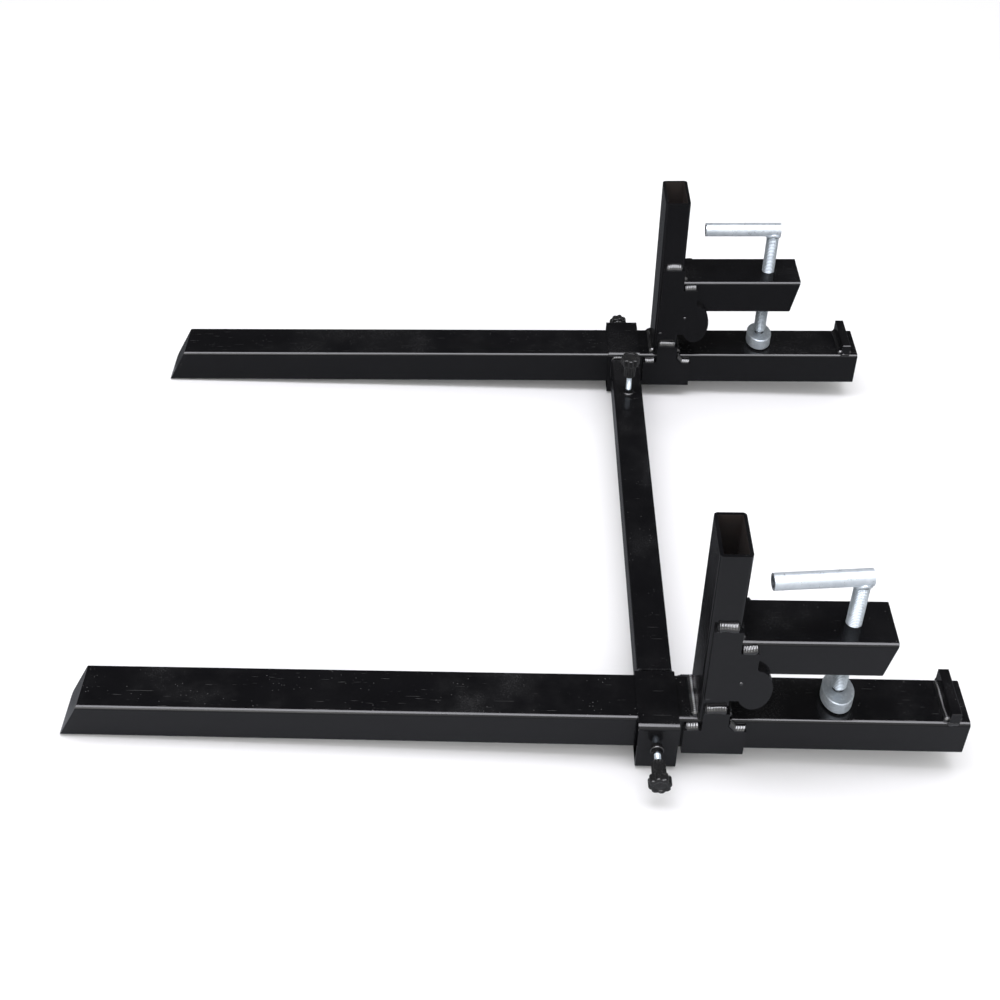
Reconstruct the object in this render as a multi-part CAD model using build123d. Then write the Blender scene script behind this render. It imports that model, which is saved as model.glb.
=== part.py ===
from build123d import *
import os
from math import cos, pi, radians, sin, sqrt

# Clamp-on pallet forks for a loader bucket: two long box-tube forks, each with an
# upright, a clamp arm and a screw clamp, joined by a telescoping stabiliser bar
# that rides on the forks with two sleeves.
# Units mm. -X runs to the fork tips, +X to the loader, +Z up, left fork at -Y.
# Origin: midway between the forks, on their undersides, at the uprights' rear faces.

# ---- shared dimensions ----
FORK_PITCH = 726.5           # centre to centre of the two forks
FORK_W, FORK_H = 70.0, 54.0  # fork tube section
TUBE_T, TUBE_R, TUBE_BORE_R = 4.0, 5.0, 1.8  # wall, outside and inside corner radius
HOLE_CLEARANCE = 0.5         # radial, screws through plain holes
THREAD_CLEARANCE = 0.06      # radial, screws in bushes, nuts and knobs
OVERCUT = 1.0                # how far bores run past the ends of a tube

X_DIR, Y_DIR, Z_DIR = (1, 0, 0), (0, 1, 0), (0, 0, 1)

os.makedirs("parts", exist_ok=True)


# ---- helpers ----
def save(name, *solids):
    shape = solids[0] if len(solids) == 1 else Compound(children=list(solids))
    shape.label = name
    export_step(shape, f"parts/{name}.step")


def solid(shape):
    """The single solid in a boolean result."""
    found = shape.solids()
    assert len(found) == 1, len(found)
    return found[0]


def rounded_bar(start, axis, length, width, height, radius):
    """Solid bar of rounded section; its width lies along Y if it runs along X, else along X."""
    across = Y_DIR if axis == X_DIR else X_DIR
    section = Plane(origin=start, x_dir=across, z_dir=axis) * RectangleRounded(width, height, radius)
    return extrude(section, amount=length)


def box_tube(start, axis, length, width, height, wall, radius, bore_radius):
    """Open tube of rounded section."""
    bore_start = tuple(s - a * OVERCUT for s, a in zip(start, axis))
    bore = rounded_bar(bore_start, axis, length + 2 * OVERCUT,
                       width - 2 * wall, height - 2 * wall, bore_radius)
    return rounded_bar(start, axis, length, width, height, radius) - bore


def cylinder(start, axis, radius, length):
    return extrude(Plane(origin=start, z_dir=axis) * Circle(radius), amount=length)


def slab(outline, y_face, thickness):
    """Extrude an outline drawn in world X and Z from y_face towards -Y."""
    plane = Plane(origin=(0, y_face, 0), x_dir=X_DIR, z_dir=(0, -1, 0))
    return extrude(plane * outline, amount=thickness)


def polygon(points):
    return make_face(Polyline(*points, close=True))


def rect(x0, x1, z0, z1):
    return Pos((x0 + x1) / 2, (z0 + z1) / 2) * Rectangle(x1 - x0, z1 - z0)


def trim_block(points, fork_y):
    """X-Z polygon wider than a fork, for cutting its tubes to shape."""
    half_width = 60
    return slab(polygon(points), fork_y + half_width, 2 * half_width)


# ---- fork tube and tip cap ----
FORK_REAR_X = 280.5
TIP_X_BOTTOM, TIP_X_TOP = -811.5, -780.5
TIP_CAP_T = 4.0
TIP_STOCK = 20.0             # extra tube length, trimmed off at the tip
TIP_TRIM_Z = (-10, 60)       # trimming runs below and above the fork


def fork_tube_and_cap(fork_y):
    lean = (TIP_X_TOP - TIP_X_BOTTOM) / FORK_H
    cap_run = TIP_CAP_T * sqrt(1 + lean * lean)  # cap thickness measured along X
    z0, z1 = TIP_TRIM_Z
    front0, front1 = [(TIP_X_BOTTOM + lean * z, z) for z in TIP_TRIM_Z]
    back0, back1 = [(x + cap_run, z) for x, z in (front0, front1)]
    past_rear = FORK_REAR_X + 120

    start_x = TIP_X_BOTTOM - TIP_STOCK
    start, length = (start_x, fork_y, FORK_H / 2), FORK_REAR_X - start_x
    tube = box_tube(start, X_DIR, length, FORK_W, FORK_H, TUBE_T, TUBE_R, TUBE_BORE_R)
    bar = rounded_bar(start, X_DIR, length, FORK_W, FORK_H, TUBE_R)
    behind_cap = trim_block([back0, (past_rear, z0), (past_rear, z1), back1], fork_y)
    cap_zone = trim_block([front0, back0, back1, front1], fork_y)
    return solid(tube & behind_cap), solid(bar & cap_zone)


# ---- upright, clamp arm, side plates and lip ----
POST_D = 36.0                # upright tube, X size
POST_TOP_Z = 321.5

ARM_Z0, ARM_Z1 = 134.0, 188.0
ARM_X_TOP, ARM_X_BOTTOM = 175.0, 164.0   # end is cut leaning under
ARM_TRIM = 5.0               # extra arm length, and trim past its top and bottom

SCREW_X = 130.5
SCREW_R = 9.0                # M18
BUSH_R = 13.5

PLATE_T = 8.0
# Upper plate outline, each rectangle as x0, x1, z0, z1
UPPER_STRIP = (-32, 7, 98, 213)
UPPER_NOTCH = (0.5, 10, 178, 220)        # cut from the strip's top rear corner
UPPER_TONGUE = (0, 22, 119, 178)
TONGUE_END_X, TONGUE_END_Z = 23, 117     # centre of the tongue's oval end
TONGUE_END_A, TONGUE_END_B = 20, 33      # its half sizes in X and Z
TONGUE_FILLET = 5
# Lower plate outline, x and z: a wide base with a narrow stem
LOWER_PLATE = [(-51, 1), (22, 1), (22, 43), (7, 43), (0, 52), (0, 74),
               (-30.5, 74), (-30.5, 43), (-51, 43)]

LIP_X0, LIP_X1, LIP_TOP_Z = 255.0, 267.0, 72.0
LIP_CHAMFER = 0.8


def post(fork_y):
    return solid(box_tube((-POST_D / 2, fork_y, FORK_H), Z_DIR, POST_TOP_Z - FORK_H,
                          POST_D, FORK_W, TUBE_T, TUBE_R, TUBE_BORE_R))


def clamp_arm(fork_y):
    height = ARM_Z1 - ARM_Z0
    tube = box_tube((0, fork_y, (ARM_Z0 + ARM_Z1) / 2), X_DIR, ARM_X_TOP + ARM_TRIM,
                    FORK_W, height, TUBE_T, TUBE_R, TUBE_BORE_R)
    lean = (ARM_X_TOP - ARM_X_BOTTOM) / height
    z0, z1 = ARM_Z0 - ARM_TRIM, ARM_Z1 + ARM_TRIM
    keep = trim_block([(-1, z0), (ARM_X_BOTTOM - ARM_TRIM * lean, z0),
                       (ARM_X_TOP + ARM_TRIM * lean, z1), (-1, z1)], fork_y)
    hole = cylinder((SCREW_X, fork_y, z0), Z_DIR, SCREW_R + HOLE_CLEARANCE, z1 - z0)
    return solid((tube & keep) - hole)


def upper_plate(y_face):
    """Upright-to-arm plate with a rounded tongue that hangs into the throat."""
    outline = rect(*UPPER_STRIP) - rect(*UPPER_NOTCH) + rect(*UPPER_TONGUE) \
        + Pos(TONGUE_END_X, TONGUE_END_Z) * Ellipse(TONGUE_END_A, TONGUE_END_B)
    plate = solid(slab(outline, y_face, PLATE_T))
    # The corner where the tongue's straight side meets the top of its oval end
    neck_x, neck_z = UPPER_TONGUE[1], TONGUE_END_Z + TONGUE_END_B
    neck = [e for e in plate.edges().filter_by(Axis.Y)
            if abs(e.center().X - neck_x) < 1.5 and abs(e.center().Z - neck_z) < 3]
    return solid(fillet(neck, TONGUE_FILLET))


def lower_plate(y_face):
    """Upright-to-fork plate."""
    return solid(slab(polygon(LOWER_PLATE), y_face, PLATE_T))


def lip_bar(fork_y):
    """Crossbar on top of the fork's rear end."""
    lip = Pos((LIP_X0 + LIP_X1) / 2, fork_y, (FORK_H + LIP_TOP_Z) / 2) \
        * Box(LIP_X1 - LIP_X0, FORK_W, LIP_TOP_Z - FORK_H)
    return solid(chamfer(lip.edges().group_by(Axis.Z)[-1], LIP_CHAMFER))


def thread_bush(fork_y):
    """Threaded sleeve inside the arm."""
    body = cylinder((SCREW_X, fork_y, ARM_Z0 + TUBE_T), Z_DIR, BUSH_R,
                    ARM_Z1 - ARM_Z0 - 2 * TUBE_T)
    return solid(body - cylinder((SCREW_X, fork_y, ARM_Z0), Z_DIR,
                                 SCREW_R + THREAD_CLEARANCE, ARM_Z1 - ARM_Z0))


# ---- screw clamp ----
SCREW_TOP_Z = 256.0
SHOULDER_Z, SHOULDER_CHAMFER = 77.5, 1.5
NECK_R = 4.0
BALL_R, BALL_Z = 6.0, 67.0

HANDLE_R, HANDLE_BORE_R, HANDLE_Z = 10.0, 7.0, 259.0
HANDLE_REACH, HANDLE_STUB = 100.5, 9.5   # from the screw's axis to each end
HANDLE_TURN = {"left": 5.0, "right": 0.0}  # degrees the handle stands off the fork's line

PAD_A, PAD_B = 18.5, 25.5    # oval pad, half sizes along and across the fork
PAD_H, PAD_Z0 = 17.5, 57.0
PAD_TOP_CHAMFER, PAD_BOTTOM_CHAMFER = 1.0, 0.8
PAD_BALL_CLEARANCE = 0.05
PAD_BORE_R, PAD_MOUTH_R = 8.2, 7.0       # pocket, and the narrower hole in the lip over it
PAD_LIP_T = 1.0

RING_R, RING_Z0, RING_Z1 = 7.5, 71.7, 72.8
RING_CLEARANCE, RING_SLIT = 0.1, 2.4


def handle_rod(fork_y, turn, radius, extra=0.0):
    """Round bar along the handle, from its free end to the stub past the screw."""
    axis = (cos(radians(turn)), sin(radians(turn)), 0)
    reach = HANDLE_REACH + extra
    start = (SCREW_X - axis[0] * reach, fork_y - axis[1] * reach, HANDLE_Z)
    return cylinder(start, axis, radius, reach + HANDLE_STUB + extra)


def screw_handle(fork_y, turn):
    return solid(handle_rod(fork_y, turn, HANDLE_R)
                 - handle_rod(fork_y, turn, HANDLE_BORE_R, OVERCUT))


def clamp_screw(fork_y, turn):
    screw = cylinder((SCREW_X, fork_y, SHOULDER_Z), Z_DIR, SCREW_R, SCREW_TOP_Z - SHOULDER_Z)
    screw = chamfer(screw.edges().sort_by(Axis.Z)[0], SHOULDER_CHAMFER)
    screw -= handle_rod(fork_y, turn, HANDLE_R, 20)      # saddle under the handle
    screw += cylinder((SCREW_X, fork_y, BALL_Z), Z_DIR, NECK_R, SHOULDER_Z - BALL_Z)
    screw += Pos(SCREW_X, fork_y, BALL_Z) * Sphere(BALL_R)
    return solid(screw)


def swivel_pad(fork_y):
    top = PAD_Z0 + PAD_H
    pad = extrude(Plane(origin=(SCREW_X, fork_y, PAD_Z0)) * Ellipse(PAD_A, PAD_B), amount=PAD_H)
    pad = chamfer(pad.edges().sort_by(Axis.Z)[-1], PAD_TOP_CHAMFER)
    pad = chamfer(pad.edges().sort_by(Axis.Z)[0], PAD_BOTTOM_CHAMFER)
    pad -= Pos(SCREW_X, fork_y, BALL_Z) * Sphere(BALL_R + PAD_BALL_CLEARANCE)
    pad -= cylinder((SCREW_X, fork_y, BALL_Z), Z_DIR, PAD_BORE_R, top - PAD_LIP_T - BALL_Z)
    pad -= cylinder((SCREW_X, fork_y, top - PAD_LIP_T - 0.5), Z_DIR, PAD_MOUTH_R, 3)
    return solid(pad)


def pad_ring(fork_y):
    """Split spring ring on the screw's neck, under the pad's lip."""
    ring = cylinder((SCREW_X, fork_y, RING_Z0), Z_DIR, RING_R, RING_Z1 - RING_Z0) \
        - cylinder((SCREW_X, fork_y, RING_Z0 - 1), Z_DIR, NECK_R + RING_CLEARANCE, 5)
    return solid(ring - Pos(SCREW_X + 6, fork_y, RING_Z0) * Box(12, RING_SLIT, 5))


for side, fork_y in (("left", -FORK_PITCH / 2), ("right", FORK_PITCH / 2)):
    tube, cap = fork_tube_and_cap(fork_y)
    save(f"{side}_fork_tube", tube)
    save(f"{side}_tip_cap", cap)
    plate_faces = (fork_y - FORK_W / 2, fork_y + FORK_W / 2 + PLATE_T)
    save(f"{side}_upper_side_plates", *[upper_plate(y) for y in plate_faces])
    save(f"{side}_lower_side_plates", *[lower_plate(y) for y in plate_faces])
    for build in (post, clamp_arm, lip_bar, thread_bush, swivel_pad, pad_ring):
        save(f"{side}_{build.__name__}", build(fork_y))
    for build in (clamp_screw, screw_handle):
        save(f"{side}_{build.__name__}", build(fork_y, HANDLE_TURN[side]))


# ---- stabiliser: sleeves and telescoping bar ----
COLLAR_X0, COLLAR_X1 = -105.0, -57.0
COLLAR_T, COLLAR_R = 4.0, 7.0
COLLAR_GAP = 0.25            # to the fork's top and inner side
COLLAR_Z0, COLLAR_Z1 = -19.0, FORK_H + COLLAR_GAP + COLLAR_T
COLLAR_OUT = 51.5            # fork centre to the sleeve's outer face
COLLAR_IN = FORK_W / 2 + COLLAR_GAP + COLLAR_T  # fork centre to its inner face

BAR_W, BAR_T, BAR_R, BAR_BORE_R = 43.0, 3.0, 4.0, 1.6
BAR_X, BAR_Z = -79.5, 28.5
BAR_END_Y = 319.0
INNER_W, INNER_T, INNER_R, INNER_BORE_R = 36.0, 3.0, 2.0, 1.0
INNER_END_Y = -277.0
COLLAR_FACE_Y = FORK_PITCH / 2 - COLLAR_IN      # sleeves' inner faces, at -Y and +Y

STUD_R = 4.0                 # M8
LOCK_X, LOCK_Z = -81.0, 16.0
BAR_LOCK_Y = 238.0


def collar(side_sign):
    """Sleeve on a fork; side_sign is -1 for the left fork and +1 for the right."""
    fork_y = side_sign * FORK_PITCH / 2
    y_out = fork_y + side_sign * COLLAR_OUT
    y_in = fork_y - side_sign * COLLAR_IN
    sleeve = box_tube((COLLAR_X0, (y_out + y_in) / 2, (COLLAR_Z1 + COLLAR_Z0) / 2), X_DIR,
                      COLLAR_X1 - COLLAR_X0, abs(y_out - y_in), COLLAR_Z1 - COLLAR_Z0,
                      COLLAR_T, COLLAR_R, COLLAR_R - COLLAR_T)
    hole = cylinder((LOCK_X, y_out - side_sign * 10, LOCK_Z), (0, side_sign, 0),
                    STUD_R + HOLE_CLEARANCE, 20)
    return solid(sleeve - hole)


def square_tube_y(y0, y1, width, wall, radius, bore_radius):
    return box_tube((BAR_X, y0, BAR_Z), Y_DIR, y1 - y0, width, width, wall, radius, bore_radius)


def stabilizer_tube():
    tube = square_tube_y(-COLLAR_FACE_Y, BAR_END_Y, BAR_W, BAR_T, BAR_R, BAR_BORE_R)
    hole = cylinder((BAR_X, BAR_LOCK_Y, BAR_Z), Z_DIR, STUD_R + HOLE_CLEARANCE, 40)
    return solid(tube - hole)


save("left_collar", collar(-1))
save("right_collar", collar(1))
save("stabilizer_tube", stabilizer_tube())
save("stabilizer_inner_tube", solid(square_tube_y(
    INNER_END_Y, COLLAR_FACE_Y, INNER_W, INNER_T, INNER_R, INNER_BORE_R)))


# ---- knob screws ----
NUT_AF, NUT_H = 13.0, 6.5
NUT_CORNER = 1.12            # radius the corners are turned to, over half the flats
STUD_CHAMFER = 0.8
KNOB_R, KNOB_HEAD, KNOB_CHAMFER = 14.0, 13.0, 1.5
KNOB_HUB_R, KNOB_HUB = 8.5, 22.0
KNOB_LOBES = 8
FLUTE_R, FLUTE_PITCH_R = 3.4, 15.6       # scallops between the lobes
FLUTE_PHASE = 0.2            # first scallop's turn, in lobe steps
SCREW_LEN = 69.5             # stud tip to the knob's outer face
STUD_IN_KNOB = 24.0
TIP_GAP = 0.05               # stud tip to the clamped tube
RIGHT_LOCK_BACKED_OFF = 7.0  # the right sleeve's screw stands off its fork at rest


def hex_nut(start, axis):
    face = Plane(origin=start, z_dir=axis)
    body = extrude(face * RegularPolygon(NUT_AF / 2, 6, major_radius=False), amount=NUT_H)
    body &= extrude(face * Circle(NUT_AF / 2 * NUT_CORNER), amount=NUT_H)
    return solid(body - extrude(face * Circle(STUD_R + THREAD_CLEARANCE), amount=NUT_H))


def stud(tip, axis, length):
    return solid(chamfer(cylinder(tip, axis, STUD_R, length).edges(), STUD_CHAMFER))


def star_knob(hub_start, axis):
    """Lobed knob; hub_start is where its hub begins, axis points to its outer face."""
    face = Plane(origin=hub_start, z_dir=axis)
    hub = extrude(face * Circle(KNOB_HUB_R), amount=KNOB_HUB + 1)
    star = Circle(KNOB_R)
    for i in range(KNOB_LOBES):
        angle = 2 * pi * (i + FLUTE_PHASE) / KNOB_LOBES
        star -= Pos(FLUTE_PITCH_R * cos(angle), FLUTE_PITCH_R * sin(angle)) * Circle(FLUTE_R)
    disc = extrude(Circle(KNOB_R), amount=KNOB_HEAD)
    disc = chamfer(disc.edges(), KNOB_CHAMFER)      # rims of the lobes only
    head = solid(extrude(star, amount=KNOB_HEAD) & disc)
    knob = hub + face.offset(KNOB_HUB) * head
    bore = extrude(face * Circle(STUD_R + THREAD_CLEARANCE), amount=STUD_IN_KNOB + 0.1)
    return solid(knob - bore)


def knob_screw(name, mount, axis, tip_depth):
    """Nut on the mounting face, stud reaching tip_depth below it, and knob."""
    def along(distance):
        return tuple(m + a * distance for m, a in zip(mount, axis))

    hub = SCREW_LEN - tip_depth - KNOB_HEAD - KNOB_HUB
    save(f"{name}_nut", hex_nut(mount, axis))
    save(f"{name}_stud", stud(along(-tip_depth), axis, tip_depth + hub + STUD_IN_KNOB))
    save(f"{name}_knob", star_knob(along(hub), axis))


out_face = FORK_PITCH / 2 + COLLAR_OUT
side_depth = COLLAR_OUT - FORK_W / 2 - TIP_GAP
knob_screw("left_lock", (LOCK_X, -out_face, LOCK_Z), (0, -1, 0), side_depth)
knob_screw("right_lock", (LOCK_X, out_face, LOCK_Z), Y_DIR, side_depth - RIGHT_LOCK_BACKED_OFF)
knob_screw("bar_lock", (BAR_X, BAR_LOCK_Y, BAR_Z + BAR_W / 2), Z_DIR,
           (BAR_W - INNER_W) / 2 - TIP_GAP)
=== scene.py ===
"""A pair of clamp-on forks joined by a stabiliser bar.

The forks run along x, the left one at -y and the right one at +y. Their posts and clamp
screws stand along z, and the bar runs along y between them. This script adds screw threads,
star knobs, weld beads and materials, then the studio.
"""
import math
import random
from collections import namedtuple
from functools import cached_property, partial

import bmesh
import bpy
from mathutils import Matrix, Vector


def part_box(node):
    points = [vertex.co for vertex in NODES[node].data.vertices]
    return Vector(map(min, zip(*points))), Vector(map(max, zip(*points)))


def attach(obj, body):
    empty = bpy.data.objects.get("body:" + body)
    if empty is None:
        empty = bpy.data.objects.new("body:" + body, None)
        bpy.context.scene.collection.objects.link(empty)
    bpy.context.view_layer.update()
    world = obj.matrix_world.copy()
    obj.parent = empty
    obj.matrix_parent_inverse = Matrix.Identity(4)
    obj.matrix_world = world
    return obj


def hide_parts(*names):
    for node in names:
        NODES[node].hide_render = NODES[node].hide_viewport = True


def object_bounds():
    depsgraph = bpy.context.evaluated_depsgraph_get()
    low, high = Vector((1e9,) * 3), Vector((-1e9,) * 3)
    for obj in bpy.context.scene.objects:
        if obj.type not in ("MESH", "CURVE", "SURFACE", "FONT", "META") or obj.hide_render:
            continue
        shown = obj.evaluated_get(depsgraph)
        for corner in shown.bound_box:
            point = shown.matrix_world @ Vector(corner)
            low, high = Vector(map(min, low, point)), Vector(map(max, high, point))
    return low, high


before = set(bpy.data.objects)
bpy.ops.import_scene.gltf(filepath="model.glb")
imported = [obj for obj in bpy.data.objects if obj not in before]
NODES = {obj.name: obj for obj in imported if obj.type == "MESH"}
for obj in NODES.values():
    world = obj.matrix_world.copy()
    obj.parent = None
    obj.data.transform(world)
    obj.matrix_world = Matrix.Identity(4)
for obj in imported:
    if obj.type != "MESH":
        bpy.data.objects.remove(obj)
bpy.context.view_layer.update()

random.seed(11)
MM = 0.001
SIDES = ("left", "right")
LOCKS = ("left_lock", "right_lock", "bar_lock")
X, Y, Z = (1, 0, 0), (0, 1, 0), (0, 0, 1)


def centre(node):
    lo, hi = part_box(node)
    return [(a + b) / 2 for a, b in zip(lo, hi)]


def box_mm(node):
    return [[v / MM for v in corner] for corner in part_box(node)]


# Places in metres, read from the CAD pieces
SCREW_X, SCREW_Y, _ = centre("right_clamp_screw")
HANDLE_Z = centre("right_screw_handle")[2]
FORK_Y = {side: centre(f"{side}_fork_tube")[1] for side in SIDES}
HANDLE_TURN = {"left": math.radians(5.0), "right": 0.0}     # about z

# Inner walls of the fork's box sections, in metres
HOLLOW_HALF_WIDTH = 0.03115
HOLLOWS = {     # part: (axis measured along, its span)
    "post": ("x", (-0.03215, -0.00385)),
    "tube": ("z", (0.0038, 0.0502)),
    "arm": ("z", (0.1378, 0.1842)),
}
HANDLE_BORE_RADIUS = 0.00715


# ---------------------------------------------------------------- node helpers
Axes = namedtuple("Axes", "x y z")


class Nodes:
    """Builds nodes in a cleared node tree; values may be sockets or constants."""

    def __init__(self, tree):
        self.tree = tree
        tree.nodes.clear()

    def node(self, kind, **props):
        made = self.tree.nodes.new(kind)
        for key, value in props.items():
            setattr(made, key, value)
        return made

    def link(self, source, target):
        self.tree.links.new(source, target)

    def put(self, value, socket):
        if hasattr(value, "is_linked"):
            self.link(value, socket)
        else:
            socket.default_value = value

    def split(self, vector):
        separate = self.node("ShaderNodeSeparateXYZ")
        self.link(vector, separate.inputs[0])
        return Axes(*separate.outputs)

    def combine(self, *channels):
        color = self.node("ShaderNodeCombineColor")
        for value, socket in zip(channels, color.inputs):
            self.put(value, socket)
        return color.outputs[0]

    def is_glossy_ray(self):
        return self.node("ShaderNodeLightPath").outputs["Is Glossy Ray"]

    def math(self, operation, a, b=0.0, clamp=False):
        made = self.node("ShaderNodeMath", operation=operation, use_clamp=clamp)
        for value, socket in zip((a, b, 0.0), made.inputs):
            self.put(value, socket)
        return made.outputs[0]

    def times(self, a, by, clamp=False):
        return self.math("MULTIPLY", a, by, clamp)

    def plus(self, a, b):
        return self.math("ADD", a, b)

    def minus(self, a, b):
        return self.math("SUBTRACT", a, b)

    def less(self, a, than):
        return self.math("LESS_THAN", a, than)

    def larger(self, a, b):
        return self.math("MAXIMUM", a, b)

    def length(self, a, b):
        return self.math("SQRT", self.plus(self.times(a, a), self.times(b, b)))

    def ramp(self, value, span, to=(0.0, 1.0), curve="SMOOTHSTEP"):
        """Map the span to the range `to`, clamped."""
        made = self.node("ShaderNodeMapRange", interpolation_type=curve, clamp=True)
        self.put(value, made.inputs["Value"])
        for key, limit in zip(("From Min", "From Max", "To Min", "To Max"), (*span, *to)):
            self.put(limit, made.inputs[key])
        return made.outputs["Result"]

    def mix(self, factor, under, over):
        """Mix two colours."""
        made = self.node("ShaderNodeMix", data_type="RGBA")
        for index, value in ((0, factor), (6, under), (7, over)):
            self.put(value, made.inputs[index])
        return made.outputs[2]

    def mix_value(self, factor, under, over):
        made = self.node("ShaderNodeMix", data_type="FLOAT")
        for index, value in ((0, factor), (2, under), (3, over)):
            self.put(value, made.inputs[index])
        return made.outputs[0]


class Surface(Nodes):
    """A new material round one Principled shader."""

    def __init__(self, name):
        self.material = bpy.data.materials.new(name)
        self.material.use_nodes = True
        super().__init__(self.material.node_tree)
        output = self.node("ShaderNodeOutputMaterial")
        self.shader = self.node("ShaderNodeBsdfPrincipled")
        self.link(self.shader.outputs[0], output.inputs[0])

    @cached_property
    def position(self):
        return self.node("ShaderNodeTexCoord").outputs["Object"]

    @cached_property
    def normal(self):
        return self.node("ShaderNodeNewGeometry").outputs["Normal"]

    @cached_property
    def place(self):
        return self.split(self.position)

    @cached_property
    def facing(self):
        return self.split(self.normal)

    def stretched(self, scale):
        mapping = self.node("ShaderNodeMapping")
        mapping.inputs["Scale"].default_value = scale
        self.link(self.position, mapping.inputs["Vector"])
        return mapping.outputs[0]

    def noise(self, scale, detail=3.0, rough=0.55, distortion=0.0, stretch=None):
        made = self.node("ShaderNodeTexNoise")
        made.inputs["Scale"].default_value = scale
        made.inputs["Detail"].default_value = detail
        made.inputs["Roughness"].default_value = rough
        made.inputs["Distortion"].default_value = distortion
        vector = self.stretched(stretch) if stretch else self.position
        self.link(vector, made.inputs["Vector"])
        return made.outputs["Fac"]

    def cells(self, scale):
        made = self.node("ShaderNodeTexVoronoi")
        made.inputs["Scale"].default_value = scale
        self.link(self.position, made.inputs["Vector"])
        return made.outputs["Distance"]

    def bump(self, height, strength, distance, under=None):
        made = self.node("ShaderNodeBump")
        made.inputs["Strength"].default_value = strength
        made.inputs["Distance"].default_value = distance
        self.link(height, made.inputs["Height"])
        if under is not None:
            self.link(under, made.inputs["Normal"])
        return made.outputs[0]

    def edge(self, radius):
        """1 on sharp edges, 0 on flats."""
        bevel = self.node("ShaderNodeBevel", samples=4)
        bevel.inputs["Radius"].default_value = radius
        dot = self.node("ShaderNodeVectorMath", operation="DOT_PRODUCT")
        self.link(bevel.outputs[0], dot.inputs[0])
        self.link(self.normal, dot.inputs[1])
        return self.ramp(dot.outputs["Value"], span=(0.995, 0.90))

    def finish(self, **inputs):
        for key, value in inputs.items():
            self.put(value, self.shader.inputs[key.replace("_", " ")])
        return self.material


# ---------------------------------------------------------------- masks by place
def inside_of(side, part):
    """Mask of the inner walls of one of a fork's hollow sections."""
    axis, (low, high) = HOLLOWS[part]

    def mask(t):
        off_middle = t.math("ABSOLUTE", t.minus(t.place.y, FORK_Y[side]))
        beside = t.less(off_middle, than=HOLLOW_HALF_WIDTH)
        along = getattr(t.place, axis)
        between = t.times(t.math("GREATER_THAN", along, low), t.less(along, than=high))
        end_on = t.facing.z if part == "post" else t.math("ABSOLUTE", t.facing.x)
        return t.times(t.times(beside, between), t.less(end_on, than=0.5))
    return mask


def thread_root_shade(t):
    """Painted shade: mask of the roots of the two clamp screws' threads, where the colour is
    darkened as shade.
    """
    across_x = t.minus(t.place.x, SCREW_X)
    across_y = t.minus(t.math("ABSOLUTE", t.place.y), SCREW_Y)
    radius = t.length(across_x, across_y)
    roots = t.ramp(radius, span=(0.0078, 0.0088), to=(0.9, 0.0))
    return t.times(roots, t.math("GREATER_THAN", radius, 0.0068))


def handle_bore_shade(side):
    """Painted shade: mask of the inside of a handle's pipe, where the colour is darkened as shade.
    """
    turn = HANDLE_TURN[side]

    def mask(t):
        off_x = t.minus(t.place.x, SCREW_X)
        off_y = t.minus(t.place.y, FORK_Y[side])
        across = t.minus(t.times(off_y, math.cos(turn)), t.times(off_x, math.sin(turn)))
        radius = t.length(across, t.minus(t.place.z, HANDLE_Z))
        return t.times(t.less(radius, than=HANDLE_BORE_RADIUS), by=0.9)
    return mask


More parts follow.
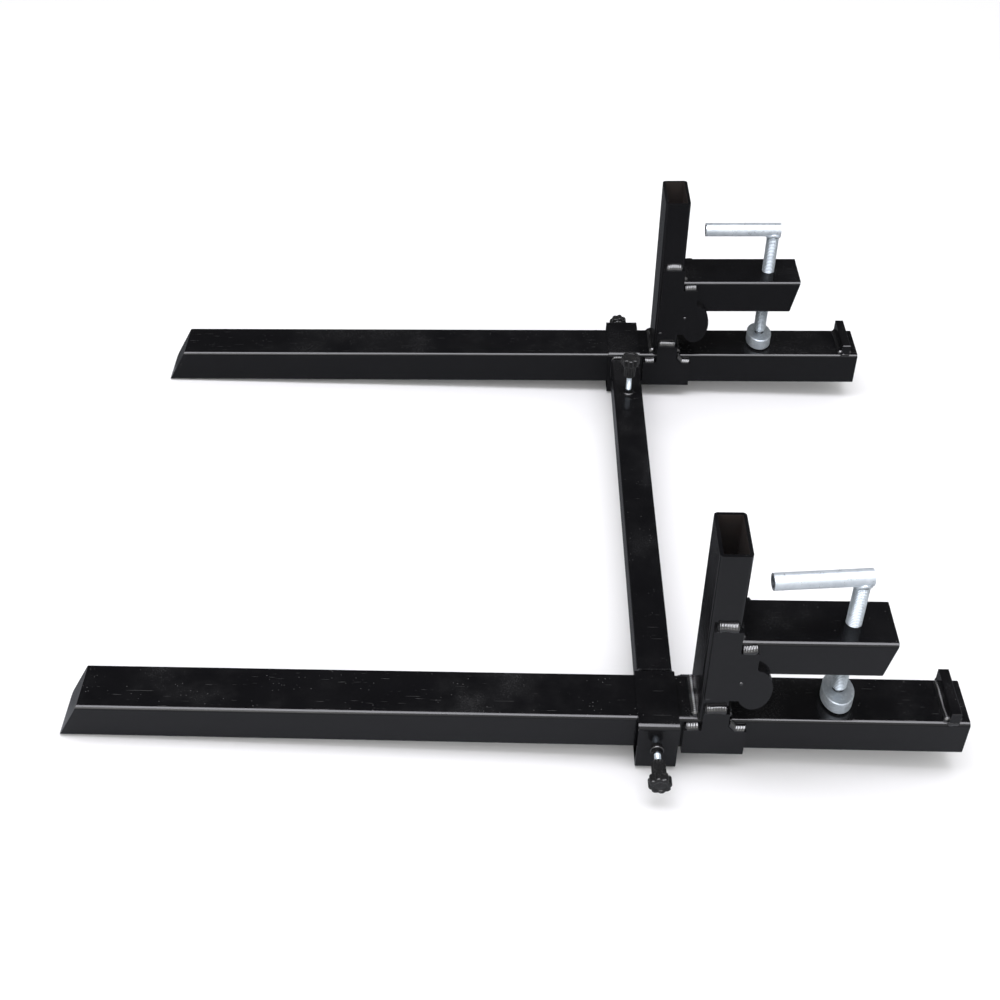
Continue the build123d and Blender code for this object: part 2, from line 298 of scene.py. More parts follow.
# ---------------------------------------------------------------- materials
def black_paint(name, dust, inside=None, wear=1.0):
    """Gloss black enamel: orange peel, dust and scratches on top faces, chipped edges."""
    t = Surface(name)
    up = t.ramp(t.facing.z, span=(0.75, 0.98))
    patches = t.ramp(t.noise(scale=9.0, detail=5.0, rough=0.6), span=(0.42, 0.72))
    grain = t.ramp(t.noise(scale=900.0, detail=2.0, rough=0.6), span=(0.52, 0.74))
    film = t.times(t.times(up, patches), by=dust)
    dusty = t.times(film, t.plus(t.times(grain, by=0.7), 0.3), clamp=True)
    specks = t.ramp(t.cells(scale=190.0), span=(0.16, 0.05))
    speck_areas = t.ramp(t.noise(scale=26.0, detail=2.0), span=(0.50, 0.62))
    speck_amount = t.times(speck_areas, by=0.75 * min(1.0, dust + 0.15))
    specks = t.times(t.times(specks, up), speck_amount, clamp=True)
    streaks = t.noise(scale=60.0, detail=2.0, rough=0.5, stretch=(0.55, 14.0, 14.0))
    scratches = t.ramp(streaks, span=(0.715, 0.75))
    scratches = t.times(scratches, t.times(up, by=0.55 * dust), clamp=True)
    marks = t.larger(t.larger(dusty, specks), scratches)

    color = t.mix(t.noise(scale=35.0), under=(0.0028, 0.0028, 0.0034, 1),
                  over=(0.0045, 0.0045, 0.0055, 1))
    color = t.mix(dusty, color, over=(0.030, 0.030, 0.031, 1))
    color = t.mix(t.larger(specks, scratches), color, over=(0.12, 0.12, 0.12, 1))
    edge = t.edge(radius=0.0012)
    chips = t.times(edge, t.ramp(t.noise(scale=140.0, rough=0.7), span=(0.66, 0.70)))
    chips = t.times(chips, by=wear, clamp=True)
    color = t.mix(t.times(edge, by=0.35), color, over=(0.012, 0.012, 0.014, 1))
    color = t.mix(chips, color, over=(0.20, 0.19, 0.18, 1))
    rough = t.ramp(t.noise(scale=18.0, detail=4.0, rough=0.6), span=(0.3, 0.7), to=(0.13, 0.22))
    rough = t.mix_value(marks, rough, over=0.62)
    rough = t.mix_value(chips, rough, over=0.42)
    if inside is not None:
        inner = inside(t)
        rust = t.mix(t.noise(scale=60.0, detail=5.0, rough=0.65),
                     under=(0.005, 0.004, 0.004, 1), over=(0.030, 0.016, 0.011, 1))
        color = t.mix(inner, color, rust)
        rough = t.mix_value(inner, rough, over=0.72)
    peel = t.bump(t.noise(scale=260.0, detail=2.0, rough=0.45), strength=0.10, distance=0.0006)
    peel = t.bump(t.noise(scale=38.0, detail=2.0, rough=0.5), strength=0.06, distance=0.0012,
                  under=peel)
    peel = t.bump(marks, strength=0.25, distance=0.0003, under=peel)
    return t.finish(Base_Color=color, Roughness=rough, Metallic=t.times(chips, by=0.6),
                    Normal=peel, Specular_IOR_Level=0.42, Coat_Weight=0.25, Coat_Roughness=0.05)


def weld_paint():
    """The same enamel over weld metal: glossier, with fine grime."""
    t = Surface("weld_paint")
    grime = t.ramp(t.noise(scale=420.0, detail=4.0, rough=0.6), span=(0.4, 0.7))
    return t.finish(
        Base_Color=t.mix(grime, under=(0.0035, 0.0035, 0.0042, 1), over=(0.011, 0.011, 0.012, 1)),
        Roughness=t.ramp(t.noise(scale=240.0), span=(0.3, 0.7), to=(0.06, 0.15)),
        Normal=t.bump(t.noise(scale=700.0, rough=0.6), strength=0.25, distance=0.0004),
        Specular_IOR_Level=0.9, Coat_Weight=1.0, Coat_Roughness=0.04)


def zinc(name, base, dark, roughness, grime, spangle=0.0, brushed=None, shade=None):
    """Zinc-plated steel: cloudy colour, grime in patches, fine lines stretched by `brushed`, and
    painted shade where the `shade` mask is.
    """
    t = Surface(name)
    cloud = t.noise(scale=55.0, detail=5.0, rough=0.65, distortion=0.6)
    color = t.mix(t.ramp(cloud, span=(0.32, 0.68)), (*base, 1), (*dark, 1))
    if spangle:
        cell = t.ramp(t.cells(scale=260.0), span=(0.1, 0.6))
        flake = [channel * dim for channel, dim in zip(base, (0.55, 0.56, 0.6))]
        color = t.mix(t.times(cell, by=spangle), color, (*flake, 1))
    patches = t.ramp(t.noise(scale=22.0, detail=5.0, rough=0.7), span=(0.55, 0.75))
    soil = t.times(patches, by=grime)
    color = t.mix(soil, color, over=(0.045, 0.040, 0.036, 1))
    # Painted shade: darker blue-grey where the `shade` mask is, in thread roots and inside handle
    # bores.
    if shade is not None:
        color = t.mix(shade(t), color, over=(0.10, 0.115, 0.13, 1))
    rough = t.ramp(t.noise(scale=120.0, detail=4.0), span=(0.3, 0.7), to=roughness)
    rough = t.mix_value(soil, rough, over=0.6)
    metallic = t.ramp(soil, span=(0.0, 1.0), to=(0.60, 0.2))
    relief = t.bump(t.noise(scale=500.0, detail=2.0, rough=0.5), strength=0.07, distance=0.0003)
    if brushed:
        lines = t.noise(scale=90.0, detail=2.0, rough=0.6, stretch=brushed)
        relief = t.bump(lines, strength=0.12, distance=0.0003, under=relief)
        rough = t.plus(rough, t.ramp(lines, span=(0.35, 0.65), to=(-0.05, 0.06)))
    return t.finish(Base_Color=color, Roughness=rough, Metallic=metallic, Normal=relief)


def knob_plastic():
    """Moulded black plastic: fine grain and patchy dust."""
    t = Surface("knob_plastic")
    color = t.mix(t.noise(scale=80.0), under=(0.005, 0.005, 0.005, 1),
                  over=(0.010, 0.010, 0.011, 1))
    patches = t.ramp(t.noise(scale=130.0, detail=4.0, rough=0.7), span=(0.56, 0.72))
    color = t.mix(t.times(patches, by=0.30), color, over=(0.09, 0.088, 0.085, 1))
    return t.finish(
        Base_Color=color,
        Roughness=t.ramp(t.noise(scale=60.0), span=(0.3, 0.7), to=(0.18, 0.30)),
        Normal=t.bump(t.noise(scale=1500.0, detail=2.0, rough=0.6), strength=0.15,
                      distance=0.0002),
        Specular_IOR_Level=0.5, Sheen_Weight=0.08)


def spring_steel():
    t = Surface("spring_steel")
    return t.finish(
        Base_Color=t.mix(t.noise(scale=200.0), under=(0.10, 0.10, 0.11, 1),
                         over=(0.22, 0.21, 0.20, 1)),
        Roughness=t.ramp(t.noise(scale=300.0), span=(0.3, 0.7), to=(0.25, 0.45)),
        Metallic=0.95,
        Normal=t.bump(t.noise(scale=900.0, detail=2.0), strength=0.2, distance=0.0002))


PAINT = black_paint("black_paint", dust=0.35)
PAINT_BAR = black_paint("black_paint_bar", dust=0.5)
WELD = weld_paint()
SCREW_STEEL = zinc("bright_zinc", base=(0.76, 0.83, 0.89), dark=(0.62, 0.69, 0.75),
                   roughness=(0.28, 0.38), grime=0.08, brushed=(30, 30, 1.5), shade=thread_root_shade)
HANDLE_STEEL = {
    side: zinc(f"{side}_handle_zinc", base=(0.78, 0.84, 0.90), dark=(0.66, 0.72, 0.78),
               roughness=(0.30, 0.40), grime=0.08, brushed=(3, 22, 22), shade=handle_bore_shade(side))
    for side in SIDES}
PAD_STEEL = zinc("pad_zinc", base=(0.74, 0.80, 0.84), dark=(0.44, 0.49, 0.53),
                 roughness=(0.34, 0.50), grime=0.2, spangle=0.45)
BUSH_STEEL = zinc("bush_zinc", base=(0.42, 0.42, 0.43), dark=(0.28, 0.28, 0.29),
                  roughness=(0.35, 0.5), grime=0.35)
PLASTIC = knob_plastic()
SPRING = spring_steel()


# ---------------------------------------------------------------- CAD pieces
def dress(name, material, edge=None, angle=None):
    """Paint a CAD piece; round its edges by `edge` mm where they turn more than `angle` deg."""
    piece = NODES[name]
    if not piece.material_slots:
        piece.data.materials.append(material)
    for slot in piece.material_slots:
        slot.link = "OBJECT"
        slot.material = material
    if edge:
        bevel = piece.modifiers.new("edge", "BEVEL")
        bevel.width = edge * MM
        bevel.segments = 3
        bevel.limit_method = "ANGLE"
        bevel.angle_limit = math.radians(angle)
        bevel.miter_outer = "MITER_ARC"
        bevel.use_clamp_overlap = True
        bevel.harden_normals = False


TUBE_DUST = {"left": 0.6, "right": 0.55}
for side in SIDES:
    tube_paint = black_paint(f"{side}_fork_paint", TUBE_DUST[side], inside_of(side, "tube"))
    tip_paint = black_paint(f"{side}_tip_paint", dust=0.4, wear=2.0)
    post_paint = black_paint(f"{side}_post_paint", dust=0.2, inside=inside_of(side, "post"))
    arm_paint = black_paint(f"{side}_arm_paint", dust=0.35, inside=inside_of(side, "arm"))
    for part, *look in (    # piece, material, edge radius in mm, edge angle in degrees
            ("fork_tube", tube_paint, 0.45, 40),
            ("tip_cap", tip_paint, 0.5, 40),
            ("post", post_paint, 0.45, 60),
            ("clamp_arm", arm_paint, 0.45, 60),
            ("upper_side_plates", PAINT, 0.9, 50),
            ("lower_side_plates", PAINT, 0.9, 50),
            ("lip_bar", PAINT, 0.7, 30),
            ("collar", PAINT_BAR, 0.6, 60),
            ("thread_bush", BUSH_STEEL),
            ("screw_handle", HANDLE_STEEL[side], 0.5, 60),
            ("clamp_screw", SCREW_STEEL),
            ("swivel_pad", PAD_STEEL, 0.3, 30),
            ("pad_ring", SPRING)):
        dress(f"{side}_{part}", *look)
for name in ("stabilizer_tube", "stabilizer_inner_tube"):
    dress(name, PAINT_BAR, edge=0.5, angle=60)
for lock in LOCKS:
    dress(f"{lock}_nut", PAINT, edge=0.5, angle=25)
    dress(f"{lock}_stud", SCREW_STEEL)
    dress(f"{lock}_knob", PLASTIC)


# ---------------------------------------------------------------- mesh helpers
def make_piece(name, bm, material, body, sharp_angle):
    """Clean the mesh, smooth it below sharp_angle degrees and hang it on a body."""
    bmesh.ops.remove_doubles(bm, verts=bm.verts, dist=1e-6)
    bmesh.ops.dissolve_degenerate(bm, edges=bm.edges, dist=1e-7)
    bmesh.ops.recalc_face_normals(bm, faces=bm.faces)
    mesh = bpy.data.meshes.new(name)
    bm.to_mesh(mesh)
    bm.free()
    for polygon in mesh.polygons:
        polygon.use_smooth = True
    mesh.set_sharp_from_angle(angle=math.radians(sharp_angle))
    mesh.materials.append(material)
    piece = bpy.data.objects.new(name, mesh)
    bpy.context.scene.collection.objects.link(piece)
    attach(piece, body)
    return piece


def make_weld(name, bm, body):
    make_piece(name, bm, WELD, body, 60)


def sweep(bm, rings, closed=False):
    """Skin equal rings of points; an open run is capped at both ends."""
    loops = [[bm.verts.new(p) for p in ring] for ring in rings]
    count = len(loops[0])
    for i in range(len(loops) if closed else len(loops) - 1):
        a, b = loops[i], loops[(i + 1) % len(loops)]
        for j in range(count):
            k = (j + 1) % count
            bm.faces.new((a[j], a[k], b[k], b[j]))
    if not closed:
        bm.faces.new(list(reversed(loops[0])))
        bm.faces.new(loops[-1])


def resample(points, step, closed):
    """Even steps along a line of points, as (point, distance) pairs, and its length."""
    points = [Vector(p) for p in points]
    if closed:
        points.append(points[0].copy())
    reached = [0.0]
    for a, b in zip(points, points[1:]):
        reached.append(reached[-1] + (b - a).length)
    total = reached[-1]
    count = max(4, int(round(total / step)))
    path = []
    for i in range(count if closed else count + 1):
        distance = total * i / count
        k = 0
        while k < len(reached) - 2 and reached[k + 1] < distance:
            k += 1
        part = (distance - reached[k]) / max(1e-12, reached[k + 1] - reached[k])
        path.append((points[k].lerp(points[k + 1], part), distance))
    return path, total


def wobble(seed):
    """A smooth random function of a length in mm, between -1 and 1."""
    rng = random.Random(seed)
    waves = [(rng.uniform(0.05, 0.35), rng.uniform(0, 6.28), rng.uniform(0.3, 1.0))
             for _ in range(4)]
    total = sum(wave[2] for wave in waves)

    def value(at):
        return sum(size * math.sin(rate * at + shift) for rate, shift, size in waves) / total
    return value


def ripple(phase):
    """Height of a weld ripple, 0 to 1, repeating with each whole phase."""
    return math.sin(math.pi * (phase - math.floor(phase)) ** 0.7)


BEAD_STEP = 0.45 * MM
BEAD_ARC_STEPS = 13
BEAD_FULLNESS = 1.25        # exponent between a round fillet (1) and a flat one (2)
BEAD_TAPER = 3.0            # length of the narrowed ends, mm


def weld(bm, points, face_a, face_b, legs, seed, pitch=3.1, closed=False, sink=0.5):
    """A fillet bead with crescent ripples along its root line.

    face_a and face_b are the directions of its two legs; face_a may be a function of the
    point. Legs, ripple pitch and the depth sunk behind the root are in mm.
    """
    path, total = resample(points, BEAD_STEP, closed)
    direction_a = face_a if callable(face_a) else (lambda _: Vector(face_a).normalized())
    b = Vector(face_b).normalized()
    leg_a, leg_b = (leg * MM for leg in legs)
    sink *= MM
    sway_a, sway_b = wobble(seed), wobble(seed + 91)
    length = total / MM
    rings = []
    for point, distance in path:
        a = direction_a(point)
        at = distance / MM
        end = 1.0
        if not closed:
            near_end = max(0.0, min(1.0, at / BEAD_TAPER, (length - at) / BEAD_TAPER))
            end = min(1.0, 0.25 + 0.75 * math.sqrt(near_end))
        size_a = leg_a * (1 + 0.10 * sway_a(at)) * end
        size_b = leg_b * (1 + 0.10 * sway_b(at)) * end
        ring = []
        for j in range(BEAD_ARC_STEPS + 1):
            angle = math.pi / 2 * j / BEAD_ARC_STEPS
            middle = math.sin(2 * angle)
            crest = ripple(at / pitch + 0.42 * middle + 0.10 * sway_a(at * 2.0))
            bulge = 1.0 + (0.05 + 0.055 * crest) * middle + 0.035 * (crest - 0.5)
            part_a = max(0.0, math.cos(angle)) ** BEAD_FULLNESS
            part_b = max(0.0, math.sin(angle)) ** BEAD_FULLNESS
            ring.append(point + a * (size_a * part_a * bulge) + b * (size_b * part_b * bulge))
        ring.append(point + b * (leg_b * 0.55 * end) - a * sink)
        ring.append(point + (a + b).normalized() * -sink)
        ring.append(point + a * (leg_a * 0.55 * end) - b * sink)
        rings.append(ring)
    sweep(bm, rings, closed)


def bead_ring(bm, loop, axis, radius, seed, pitch):
    """Closed round bead along a loop of (point, outward direction) pairs; sizes in mm."""
    sway = wobble(seed)
    axis = Vector(axis)
    rings = []
    at = 0.0
    for i, (point, out) in enumerate(loop):
        if i:
            at += (point - loop[i - 1][0]).length / MM
        ring = []
        for j in range(14):
            angle = 2 * math.pi * j / 14
            crest = ripple(at / pitch + 0.25 * math.sin(angle))
            r = radius * MM * (0.95 + 0.10 * crest + 0.06 * sway(at))
            ring.append(point + out * (r * math.cos(angle)) + axis * (r * math.sin(angle)))
        rings.append(ring)
    sweep(bm, rings, closed=True)


def blob(bm, at, radii, seed):
    """A weld tack or spatter: a lumpy low dome, radii in mm."""
    sway_a, sway_b = wobble(seed), wobble(seed + 5)
    rx, ry, rz = (r * MM for r in radii)
    for vert in bmesh.ops.create_icosphere(bm, subdivisions=3, radius=1.0)["verts"]:
        x, y, z = vert.co
        lump = 1 + 0.12 * sway_a(9 * x + 4 * z) + 0.10 * sway_b(8 * y - 5 * x)
        vert.co = at + Vector((x * rx, y * ry, z * rz)) * lump


def turned(bm, base, axis, side, rows, segments):
    """A turned or lobed shell; rows are (height, radius or radius(angle)) in mm."""
    base, axis, side = Vector(base), Vector(axis).normalized(), Vector(side)
    side = (side - axis * side.dot(axis)).normalized()
    other = axis.cross(side)
    rings = []
    for height, radius in rows:
        ring = []
        for i in range(segments):
            a = 2 * math.pi * i / segments
            r = radius(a) if callable(radius) else radius
            out = side * math.cos(a) + other * math.sin(a)
            ring.append(base + axis * (height * MM) + out * (r * MM))
        rings.append(ring)
    sweep(bm, rings)


def thread_rows(start, end, major, root, pitch):
    """Rows of a thread between two heights, run out at both ends."""
    def radius_at(height):
        run_out = 0.8 * pitch
        fade = max(0.0, min(1.0, (height - start) / run_out, (end - height) / run_out))

        def radius(angle):
            turn = (height / pitch - angle / (2 * math.pi)) % 1.0
            if turn < 0.25:
                rise = 0.0
            elif turn < 0.55:
                rise = (turn - 0.25) / 0.30
            elif turn < 0.70:
                rise = 1.0
            else:
                rise = (1.0 - turn) / 0.30
            return root + (major - root) * rise * fade
        return radius
    count = int(round((end - start) / pitch * 10))
    heights = [start + (end - start) * i / count for i in range(count + 1)]
    return [(height, radius_at(height)) for height in heights]


# ---------------------------------------------------------------- clamp screws (mm)
BALL_RADIUS = 6.0
NECK_RADIUS = 4.0
SCREW_RADIUS = 9.0
SCREW_ROOT = 7.75
SCREW_PITCH = 2.5
HANDLE_RADIUS = 10.0


def clamp_screw(side, base, handle_bottom):
    """Ball end, neck, shoulder and thread, up into the handle."""
    ball = box_mm(f"{side}_clamp_screw")[0][2] + BALL_RADIUS
    shoulder = box_mm(f"{side}_swivel_pad")[1][2] + 3.0
    angles = [math.pi * i / 24 for i in range(1, 19)]
    rows = [(ball - BALL_RADIUS * math.cos(a), BALL_RADIUS * math.sin(a)) for a in angles]
    rows += [(ball + 4.48, NECK_RADIUS), (shoulder - 0.4, NECK_RADIUS), (shoulder, 4.5),
             (shoulder, 7.2), (shoulder + 0.7, SCREW_ROOT)]
    rows += thread_rows(shoulder + 0.9, handle_bottom + 0.5, SCREW_RADIUS, SCREW_ROOT, SCREW_PITCH)
    rows += [(handle_bottom + 0.6, 8.4), (handle_bottom + 2.4, 8.4)]
    bm = bmesh.new()
    turned(bm, base, Z, X, rows, segments=48)
    screw = make_piece(f"{side}_screw_thread", bm, SCREW_STEEL, f"{side}_screw", 50)
    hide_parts(f"{side}_clamp_screw")


def handle_weld(side, base, handle_bottom, seed):
    """Bead round the saddle where the screw meets the handle's round underside."""
    turn = HANDLE_TURN[side]
    loop = []
    for i in range(96):
        a = 2 * math.pi * i / 96
        x, y = SCREW_RADIUS * math.cos(a), SCREW_RADIUS * math.sin(a)
        across = y * math.cos(turn) - x * math.sin(turn)
        z = handle_bottom + HANDLE_RADIUS - math.sqrt(HANDLE_RADIUS ** 2 - across * across)
        out = Vector((math.cos(a), math.sin(a), 0))
        loop.append((Vector(base) + Vector((x, y, z - 0.8)) * MM, out))
    bm = bmesh.new()
    bead_ring(bm, loop, Z, radius=2.1, seed=seed, pitch=2.4)
    make_piece(f"{side}_weld_handle", bm, HANDLE_STEEL[side], f"{side}_screw", 60)


for side, seed in (("left", 5), ("right", 6)):
    base = (*centre(f"{side}_clamp_screw")[:2], 0)
    handle_bottom = box_mm(f"{side}_screw_handle")[0][2]
    clamp_screw(side, base, handle_bottom)
    handle_weld(side, base, handle_bottom, seed)


# ---------------------------------------------------------------- knob screws (mm)
def fluted(count, sharpness, outer, depth):
    """Radius as a function of angle, with `count` grooves cut into the outer radius."""
    def radius(angle):
        return outer - depth * ((1 + math.cos(count * angle)) / 2) ** sharpness
    return radius


ribbed = partial(fluted, 16, 0.8)
lobed = partial(fluted, 8, 1.7)
KNOB_ROWS = [   # (height, radius): ribbed hub, star-shaped head, dished top
    (0.0, 4.6), (0.0, 7.2), (0.35, 7.9), (0.9, ribbed(8.5, 0.25)), (2.0, ribbed(8.6, 0.9)),
    (19.5, ribbed(8.9, 0.9)), (21.0, ribbed(9.3, 0.5)),
    (21.9, lobed(10.4, 0.3)), (22.0, lobed(12.0, 1.2)), (22.25, lobed(13.0, 1.6)),
    (22.8, lobed(13.65, 1.8)), (23.6, lobed(13.95, 1.85)), (25.0, lobed(14.0, 1.85)),
    (28.0, lobed(14.0, 1.85)), (31.0, lobed(14.0, 1.85)), (33.0, lobed(13.95, 1.85)),
    (33.9, lobed(13.7, 1.8)), (34.5, lobed(13.1, 1.65)), (34.85, lobed(12.3, 1.4)),
    (35.0, lobed(11.2, 0.9)), (35.0, lobed(9.6, 0.3)),
    (34.95, 8.3), (34.7, 7.9), (34.2, 7.7), (34.1, 7.2), (34.25, 5.0), (34.4, 2.5), (34.45, 0.4),
]
STUD_RADIUS = 4.0
STUD_ROOT = 3.35
STUD_PITCH = 1.25


def knob_screw(lock, axis, up, nut_body):
    """Threaded stud, star knob and the bead at the nut's foot, all outward along axis."""
    main = max(range(3), key=lambda i: abs(axis[i]))

    def inner_end(part):
        lo, hi = box_mm(f"{lock}_{part}")
        return lo[main] if axis[main] > 0 else -hi[main]

    grip = f"{lock}_grip"
    base = Vector([0.0 if i == main else c for i, c in enumerate(centre(f"{lock}_stud"))])
    axis, up = Vector(axis), Vector(up)
    tip, hub, nut = (inner_end(part) for part in ("stud", "knob", "nut"))

    rows = [(tip, 0.3), (tip, 2.6), (tip + 0.7, STUD_ROOT)]
    rows += thread_rows(tip + 0.8, hub + 1.2, STUD_RADIUS, STUD_ROOT, STUD_PITCH)
    rows += [(hub + 1.3, 3.9), (hub + 4.0, 3.9)]
    bm = bmesh.new()
    turned(bm, base, axis, up, rows, segments=32)
    stud = make_piece(f"{lock}_thread", bm, SCREW_STEEL, grip, 50)
    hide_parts(f"{lock}_stud")

    bm = bmesh.new()
    turned(bm, base + axis * (hub * MM), axis, up, KNOB_ROWS, segments=128)
    knob = make_piece(f"{lock}_star_knob", bm, PLASTIC, grip, 55)
    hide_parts(f"{lock}_knob")

    side = up.normalized()
    other = axis.cross(side)
    loop = []
    for i in range(80):
        a = 2 * math.pi * i / 80
        out = side * math.cos(a) + other * math.sin(a)
        loop.append((base + axis * ((nut + 0.4) * MM) + out * (7.3 * MM), out))
    bm = bmesh.new()
    bead_ring(bm, loop, axis, radius=1.5, seed=21 + main, pitch=2.2)
    make_weld(f"{lock}_weld_nut", bm, nut_body)


LEFT_KNOB_TURN = 0.157      # radians
knob_screw("left_lock", (0, -1, 0), (math.sin(LEFT_KNOB_TURN), 0, math.cos(LEFT_KNOB_TURN)),
           "stabilizer")
knob_screw("right_lock", Y, (0.55, 0, 0.83), "stabilizer_slider")
knob_screw("bar_lock", Z, (0.35, -0.94, 0), "stabilizer")


# ---------------------------------------------------------------- fork welds (mm)
TUBE_SIDE = 35.0            # y of the side faces the plates' beads are laid on
CROSS_BEAD_END = 31.0       # beads across the fork run between -y and +y of this


def fork_point(side, x, y, z):
    """A point from mm, with y measured from the fork's middle plane."""
    return Vector((x * MM, FORK_Y[side] + y * MM, z * MM))


def side_bead(bm, at, sign, stations, legs, seed, y=TUBE_SIDE, face=Z, **options):
    """Bead on the fork's +y or -y side through (x, z) stations."""
    points = [at(x, sign * y, z) for x, z in stations]
    weld(bm, points, face, (0, sign, 0), legs, seed, **options)


def cross_bead(bm, at, x, z, start, out, rise, legs, seed, **options):
    """Bead across the fork from the `start` side; out and rise are the signs of its legs."""
    points = [at(x, y * CROSS_BEAD_END, z) for y in (start, -start)]
    weld(bm, points, (out, 0, 0), (0, 0, rise), legs, seed, **options)


def upper_plate_welds(bm, at, low_x, high_x, top, seed):
    for sign, first in ((-1, seed + 1), (1, seed + 4)):
        side_bead(bm, at, sign, [(low_x + 7, top), (high_x - 2.5, top)], (8, 7.8), first)
        side_bead(bm, at, sign, [(high_x + 0.5, 178), (21.8, 178)], (7.5, 7.8), first + 1)
        side_bead(bm, at, sign, [(-3.2, 188.5), (-3.2, 210)], (4.2, 4.0), first + 2,
                  y=34.2, face=X, pitch=2.6)
        blob(bm, at(6.4, sign * 43.0, 128.5), (2.6, 1.3, 2.2), first + 2)
        blob(bm, at(low_x + 7.5, sign * 42.0, 100.5), (3.4, 1.4, 1.6), first + 5)


def lower_plate_welds(bm, at, top, seed):
    for sign, first in ((-1, seed + 7), (1, seed + 10)):
        side_bead(bm, at, sign, [(-30.0, top), (-2.0, top)], (8, 7.8), first)
        side_bead(bm, at, sign, [(-50.6, 43), (-31.2, 43)], (6.5, 7.6), first + 1)
        side_bead(bm, at, sign, [(21.6, 43), (8, 43), (1.0, 52), (1.0, 58)], (6.5, 7.6),
                  first + 2, face=(0.35, 0, 0.94))


def lip_bar_welds(bm, at, low_x, high_x, z, seed):
    cross_bead(bm, at, low_x, z, -1, -1, 1, (5, 4.5), seed + 27, pitch=2.8)
    cross_bead(bm, at, high_x, z, 1, 1, 1, (5, 4.5), seed + 28, pitch=2.8)
    middle = (low_x + high_x) / 2
    for sign in (-1, 1):
        blob(bm, at(middle - 2.5, sign * 34.2, z - 0.5), (4.6, 1.7, 3.2), seed + 32 + sign)
        blob(bm, at(middle + 3.0, sign * 34.1, z - 0.2), (3.4, 1.6, 2.8), seed + 36 + sign)


def fork_welds(side, seed):
    body = f"{side}_fork"
    at = partial(fork_point, side)
    tube_top = box_mm(f"{side}_fork_tube")[1][2]
    post_lo, post_hi = box_mm(f"{side}_post")
    arm_lo, arm_hi = box_mm(f"{side}_clamp_arm")
    lip_lo, lip_hi = box_mm(f"{side}_lip_bar")
    low_x, high_x = post_lo[0], post_hi[0]

    bm = bmesh.new()
    upper_top = box_mm(f"{side}_upper_side_plates")[1][2]
    upper_plate_welds(bm, at, low_x, high_x, upper_top, seed)
    make_weld(f"{side}_weld_upper_plates", bm, body)

    bm = bmesh.new()
    lower_plate_welds(bm, at, box_mm(f"{side}_lower_side_plates")[1][2], seed)
    make_weld(f"{side}_weld_lower_plates", bm, body)

    bm = bmesh.new()
    cross_bead(bm, at, low_x, tube_top, -1, -1, 1, (7.5, 7), seed + 23)
    cross_bead(bm, at, high_x, tube_top, 1, 1, 1, (7, 7), seed + 24)
    make_weld(f"{side}_weld_post_foot", bm, body)

    bm = bmesh.new()
    cross_bead(bm, at, high_x, arm_hi[2], -1, 1, 1, (7, 7), seed + 25)
    cross_bead(bm, at, high_x, arm_lo[2], -1, 1, -1, (6, 6), seed + 26)
    make_weld(f"{side}_weld_arm_root", bm, body)

    bm = bmesh.new()
    lip_bar_welds(bm, at, lip_lo[0], lip_hi[0], tube_top, seed)
    make_weld(f"{side}_weld_lip_bar", bm, body)


fork_welds("left", seed=100)
fork_welds("right", seed=200)


# ---------------------------------------------------------------- stabiliser bar welds
def rounded_square(cx, cz, half, radius, y):
    """Square loop in the xz plane; half is the corner centres' offset. half, radius in mm."""
    points = []
    for sign_x, sign_z, start in ((1, 1, 0), (-1, 1, 90), (-1, -1, 180), (1, -1, 270)):
        for i in range(25):
            a = math.radians(start + 90 * i / 24)
            x = cx + (sign_x * half + radius * math.cos(a)) * MM
            z = cz + (sign_z * half + radius * math.sin(a)) * MM
            points.append(Vector((x, y, z)))
    return points


def outward_from(cx, cz, half, thin):
    """Outward direction round the bar, shortened to `thin` on its two x sides."""
    def direction(point):
        dx, dz = point.x - cx, point.z - cz
        out = Vector((dx - max(-half, min(half, dx)), 0, dz - max(-half, min(half, dz))))
        out = out.normalized()
        return out * (1 - (1 - thin) * abs(out.x))
    return direction


def collar_weld(side, tube, width, radius, legs, thin, direction, body):
    """Bead round the tube's end, laid along y in the given direction."""
    lo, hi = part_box(tube)
    cx, _, cz = centre(tube)
    y = lo[1] if direction > 0 else hi[1]
    half = width / 2 - radius
    bm = bmesh.new()
    weld(bm, rounded_square(cx, cz, half, radius, y), outward_from(cx, cz, half * MM, thin),
         (0, direction, 0), legs, seed=301 + direction, closed=True, sink=0.4)
    make_weld(f"{side}_weld_collar", bm, body)


collar_weld("left", "stabilizer_tube", width=43.0, radius=4.0, legs=(5.5, 6.0), thin=0.14,
            direction=1, body="stabilizer")
collar_weld("right", "stabilizer_inner_tube", width=36.0, radius=2.0, legs=(6.2, 2.5), thin=0.6,
            direction=-1, body="stabilizer_slider")


# ---------------------------------------------------------------- floor
FLOOR_HALF = 9.0
FLOOR_SLOPE = math.tan(math.atan2(19.0, 706.0))     # the sleeves hang 19 mm below the forks


def make_floor():
    pivot = Vector((-0.105, 0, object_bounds()[0][2] - 0.0006))
    bm = bmesh.new()
    corners = [(x * FLOOR_HALF, y * FLOOR_HALF) for x, y in ((-1, -1), (1, -1), (1, 1), (-1, 1))]
    bm.faces.new([bm.verts.new(pivot + Vector((x, y, -x * FLOOR_SLOPE))) for x, y in corners])
    mesh = bpy.data.meshes.new("floor")
    bm.to_mesh(mesh)
    bm.free()
    floor = bpy.data.objects.new("floor", mesh)
    bpy.context.scene.collection.objects.link(floor)
    mesh.materials.append(floor_white())


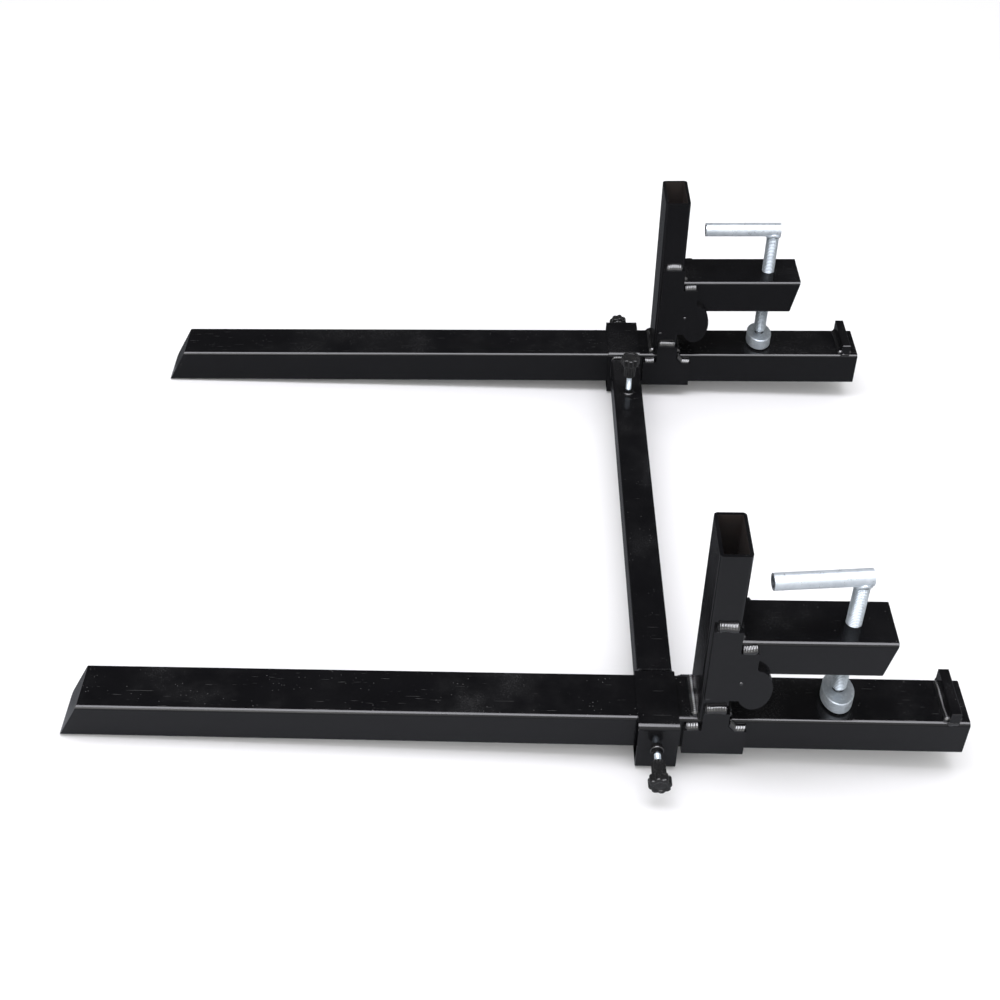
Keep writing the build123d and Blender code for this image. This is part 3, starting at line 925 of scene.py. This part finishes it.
def floor_white():
    """White; glossy rays see it much darker and banded along y, a painted reflection for the
    glossy surfaces that mirror it.
    """
    t = Surface("floor_white")
    white = t.mix(t.noise(scale=0.8, detail=2.0), under=(0.86, 0.86, 0.865, 1),
                  over=(0.88, 0.88, 0.885, 1))
    # Painted reflection: the colour that glossy rays see, darker and banded along y, stands in for
    # what the paint mirrors.
    y = t.place.y
    band = t.times(t.ramp(y, span=(0.16, 0.22), to=(0.0, 0.06)),
                   t.ramp(y, span=(0.35, 0.38), to=(1.0, -0.8)))
    mirrored = t.plus(t.ramp(y, span=(-0.40, -0.33), to=(0.25, 0.10)), band)
    blue_tint = (1.0, 1.03, 1.10)
    painted_reflection = t.combine(*(t.times(mirrored, by=channel) for channel in blue_tint))
    return t.finish(Base_Color=t.mix(t.is_glossy_ray(), white, painted_reflection), Roughness=0.9,
                    Specular_IOR_Level=0.1)


# ---------------------------------------------------------------- world, lights and camera
def make_world():
    """White light all round; reflections see grey that darkens towards +y."""
    world = bpy.data.worlds.new("studio")
    bpy.context.scene.world = world
    world.use_nodes = True
    t = Nodes(world.node_tree)
    output = t.node("ShaderNodeOutputWorld")
    background = t.node("ShaderNodeBackground")
    direction = t.split(t.node("ShaderNodeTexCoord").outputs["Generated"])
    grey = t.ramp(direction.y, span=(-0.2, 0.35), to=(0.80, 0.03), curve="LINEAR")
    color = t.mix(t.is_glossy_ray(), under=(1.0, 1.0, 1.0, 1), over=t.combine(grey, grey, grey))
    t.link(color, background.inputs["Color"])
    background.inputs["Strength"].default_value = 0.95
    t.link(background.outputs[0], output.inputs[0])


def softbox(name, at, target, size, power, tint):
    light = bpy.data.lights.new(name, "AREA")
    light.shape = "RECTANGLE"
    light.size, light.size_y = size
    light.energy = power
    light.color = tint
    lamp = bpy.data.objects.new(name, light)
    lamp.location = at
    lamp.rotation_mode = "QUATERNION"
    lamp.rotation_quaternion = (Vector(target) - Vector(at)).to_track_quat("-Z", "Y")
    bpy.context.scene.collection.objects.link(lamp)
    return lamp


def make_camera():
    camera = bpy.data.cameras.new("camera")
    camera.sensor_fit = "HORIZONTAL"
    camera.sensor_width = 36.0
    camera.lens = 50.645
    camera.shift_x, camera.shift_y = 0.0734, -0.0380
    camera.clip_start, camera.clip_end = 0.05, 60.0
    holder = bpy.data.objects.new("camera", camera)
    bpy.context.scene.collection.objects.link(holder)
    yaw, pitch, roll = 0.078, -0.706, 0.042
    aim = (Matrix.Rotation(yaw, 3, "Z") @ Matrix.Rotation(pitch, 3, "X")
           @ Matrix.Rotation(roll, 3, "Y"))
    right, forward, upward = aim.transposed()
    holder.rotation_mode = "QUATERNION"
    holder.rotation_quaternion = Matrix((right, upward, -forward)).transposed().to_quaternion()
    holder.location = (-0.258145, -1.474349, 1.369929)
    bpy.context.scene.camera = holder


make_floor()
make_world()
softbox("overhead", at=(-0.25, -0.15, 2.6), target=(-0.25, 0.0, 0.0), size=(3.2, 0.9),
        power=45, tint=(0.95, 0.94, 1.0)).visible_glossy = False
softbox("gloss_panel", at=(-0.25, -1.0, 2.6), target=(-0.25, -1.0, 0.0), size=(3.2, 2.8),
        power=190, tint=(0.94, 0.94, 1.0)).visible_diffuse = False
softbox("front_fill", at=(-1.4, -2.6, 1.4), target=(-0.2, 0.0, 0.1), size=(1.6, 1.2),
        power=14, tint=(1.0, 0.99, 0.97))
make_camera()
bpy.context.scene.view_settings.view_transform = "Standard"
